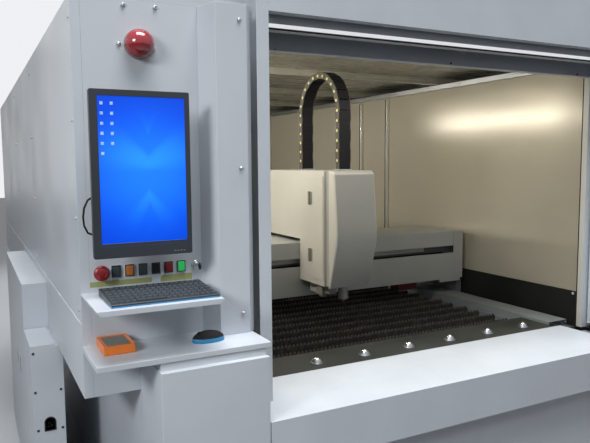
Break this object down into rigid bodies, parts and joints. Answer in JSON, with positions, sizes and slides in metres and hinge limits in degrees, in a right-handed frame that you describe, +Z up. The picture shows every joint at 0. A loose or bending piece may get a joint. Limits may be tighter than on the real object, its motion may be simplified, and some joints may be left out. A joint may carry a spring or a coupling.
{
  "type": "fiber laser cutting machine",
  "caption": "Enclosed flatbed sheet cutting machine with a lift-door portal, gantry and Z cutting head, toothed slat bed, cable chain loop and a front operator console with screen.",
  "frame": {"origin": "centre of the footprint at floor level", "axes": "+X to the right seen from the operator's side, +Y into the machine towards its rear wall, +Z up"},
  "size_m": [3.082, 4.74, 2.86],
  "materials": {
    "white_enamel": "smooth semi-gloss enamel",
    "dark_steel": "sooty, scaled plate",
    "base_grey": "matte machine paint",
    "tan_lining": "semi-gloss lining paint",
    "bright_steel": "brushed",
    "chrome_ball": "polished",
    "beam_grey": "satin machine paint",
    "head_cream": "semi-gloss enamel",
    "chain_black": "moulded nylon",
    "black_plastic": "fine grained",
    "signal_red": "smooth",
    "amber_lens": "smooth",
    "green_lens": "smooth",
    "teal_lens": "smooth",
    "pendant_orange": "fine grained"
  },
  "bodies": {
    "base": {"base_frame": "base_grey", "left_skirt": "white_enamel", "right_skirt": "white_enamel", "front_skirt": "white_enamel", "rear_wall": "white_enamel", "front_sill": "white_enamel", "left_side_panels": "white_enamel", "right_side_panels": "white_enamel", "roof": "white_enamel", "left_inner_wall": "tan_lining", "right_inner_wall": "tan_lining", "left_rail_cover": "bright_steel", "right_rail_cover": "bright_steel", "slat_bank_front": "dark_steel", "slat_bank_rear": "dark_steel", "scrap_tray": "dark_steel", "sheet_apron": "dark_steel", "portal_jamb_left": "white_enamel", "portal_jamb_right": "white_enamel", "portal_header": "white_enamel", "console_panel": "white_enamel", "console_pillar": "white_enamel", "keyboard_shelf": "white_enamel", "mouse_shelf": "white_enamel", "console_cabinet": "white_enamel", "right_front_panel": "white_enamel", "monitor": "black_plastic", "keyboard": "black_plastic", "mouse": "black_plastic", "pendant": "pendant_orange", "beacon_dome": "signal_red", "service_box": "white_enamel", "laser_source": "black_plastic"},
    "door_lower": {"door_lower_leaf": "white_enamel"},
    "door_upper": {"door_upper_leaf": "white_enamel"},
    "gantry": {"gantry_beam": "beam_grey", "beam_upper_cover": "beam_grey", "beam_lower_cover": "beam_grey"},
    "carriage": {"x_carriage": "base_grey", "head_rear_cover": "head_cream", "head_front_cover": "head_cream", "z_cable_chain": "chain_black"},
    "side_door": {"head_side_door": "head_cream"},
    "z_axis": {"z_slide": "bright_steel", "cutting_head": "beam_grey"},
    "estop": {"estop_button": "signal_red"},
    "key": {"console_key": "bright_steel"},
    "button_1": {"push_button_1": "teal_lens"},
    "button_2": {"push_button_2": "amber_lens"},
    "button_3": {"push_button_3": "black_plastic"},
    "button_4": {"push_button_4": "black_plastic"},
    "button_5": {"push_button_5": "signal_red"},
    "button_6": {"push_button_6": "green_lens"},
    "ball_1": {"transfer_ball_1": "chrome_ball"},
    "ball_2": {"transfer_ball_2": "chrome_ball"},
    "ball_3": {"transfer_ball_3": "chrome_ball"},
    "ball_4": {"transfer_ball_4": "chrome_ball"},
    "ball_5": {"transfer_ball_5": "chrome_ball"},
    "ball_6": {"transfer_ball_6": "chrome_ball"},
    "ball_7": {"transfer_ball_7": "chrome_ball"}
  },
  "joints": [
    {"name": "door_lower_slide", "type": "slide", "parent": "base", "child": "door_lower", "axis": [0, 0, 1], "range_m": [-1.312, 0]},
    {"name": "door_upper_slide", "type": "slide", "parent": "base", "child": "door_upper", "axis": [0, 0, 1], "range_m": [-0.656, 0]},
    {"name": "gantry_slide", "type": "slide", "parent": "base", "child": "gantry", "axis": [0, 1, 0], "range_m": [-0.3, 2.7]},
    {"name": "carriage_slide", "type": "slide", "parent": "gantry", "child": "carriage", "axis": [1, 0, 0], "range_m": [-0.76, 0.76]},
    {"name": "z_slide_travel", "type": "slide", "parent": "carriage", "child": "z_axis", "axis": [0, 0, 1], "range_m": [-0.09, 0.12]},
    {"name": "head_side_door_hinge", "type": "hinge", "parent": "carriage", "child": "side_door", "pos_m": [-0.0906, -1.162, 1.252], "axis": [0, 0, -1], "range_deg": [0, 110]},
    {"name": "estop_press", "type": "slide", "parent": "base", "child": "estop", "axis": [0, 1, 0], "range_m": [0, 0.005]},
    {"name": "console_key_turn", "type": "hinge", "parent": "base", "child": "key", "pos_m": [-1.048, -2.084, 1.253], "axis": [0, -1, 0], "range_deg": [0, 90]},
    {"name": "push_button_1_press", "type": "slide", "parent": "base", "child": "button_1", "axis": [0, 1, 0], "range_m": [0, 0.003], "stiffness_N_per_m": 600, "springref_m": -0.001},
    {"name": "push_button_2_press", "type": "slide", "parent": "base", "child": "button_2", "axis": [0, 1, 0], "range_m": [0, 0.003], "stiffness_N_per_m": 600, "springref_m": -0.001},
    {"name": "push_button_3_press", "type": "slide", "parent": "base", "child": "button_3", "axis": [0, 1, 0], "range_m": [0, 0.003], "stiffness_N_per_m": 600, "springref_m": -0.001},
    {"name": "push_button_4_press", "type": "slide", "parent": "base", "child": "button_4", "axis": [0, 1, 0], "range_m": [0, 0.003], "stiffness_N_per_m": 600, "springref_m": -0.001},
    {"name": "push_button_5_press", "type": "slide", "parent": "base", "child": "button_5", "axis": [0, 1, 0], "range_m": [0, 0.003], "stiffness_N_per_m": 600, "springref_m": -0.001},
    {"name": "push_button_6_press", "type": "slide", "parent": "base", "child": "button_6", "axis": [0, 1, 0], "range_m": [0, 0.003], "stiffness_N_per_m": 600, "springref_m": -0.001},
    {"name": "transfer_ball_1_roll", "type": "hinge", "parent": "base", "child": "ball_1", "pos_m": [-0.687, -1.856, 0.7523], "axis": [1, 0, 0], "continuous": true},
    {"name": "transfer_ball_2_roll", "type": "hinge", "parent": "base", "child": "ball_2", "pos_m": [-0.44, -1.856, 0.7523], "axis": [1, 0, 0], "continuous": true},
    {"name": "transfer_ball_3_roll", "type": "hinge", "parent": "base", "child": "ball_3", "pos_m": [-0.193, -1.856, 0.7523], "axis": [1, 0, 0], "continuous": true},
    {"name": "transfer_ball_4_roll", "type": "hinge", "parent": "base", "child": "ball_4", "pos_m": [0.054, -1.856, 0.7523], "axis": [1, 0, 0], "continuous": true},
    {"name": "transfer_ball_5_roll", "type": "hinge", "parent": "base", "child": "ball_5", "pos_m": [0.301, -1.856, 0.7523], "axis": [1, 0, 0], "continuous": true},
    {"name": "transfer_ball_6_roll", "type": "hinge", "parent": "base", "child": "ball_6", "pos_m": [0.548, -1.856, 0.7523], "axis": [1, 0, 0], "continuous": true},
    {"name": "transfer_ball_7_roll", "type": "hinge", "parent": "base", "child": "ball_7", "pos_m": [0.795, -1.856, 0.7523], "axis": [1, 0, 0], "continuous": true}
  ],
  "couplings": [
    {"joint": "door_upper_slide", "follows": "door_lower_slide", "ratio": 0.5}
  ]
}
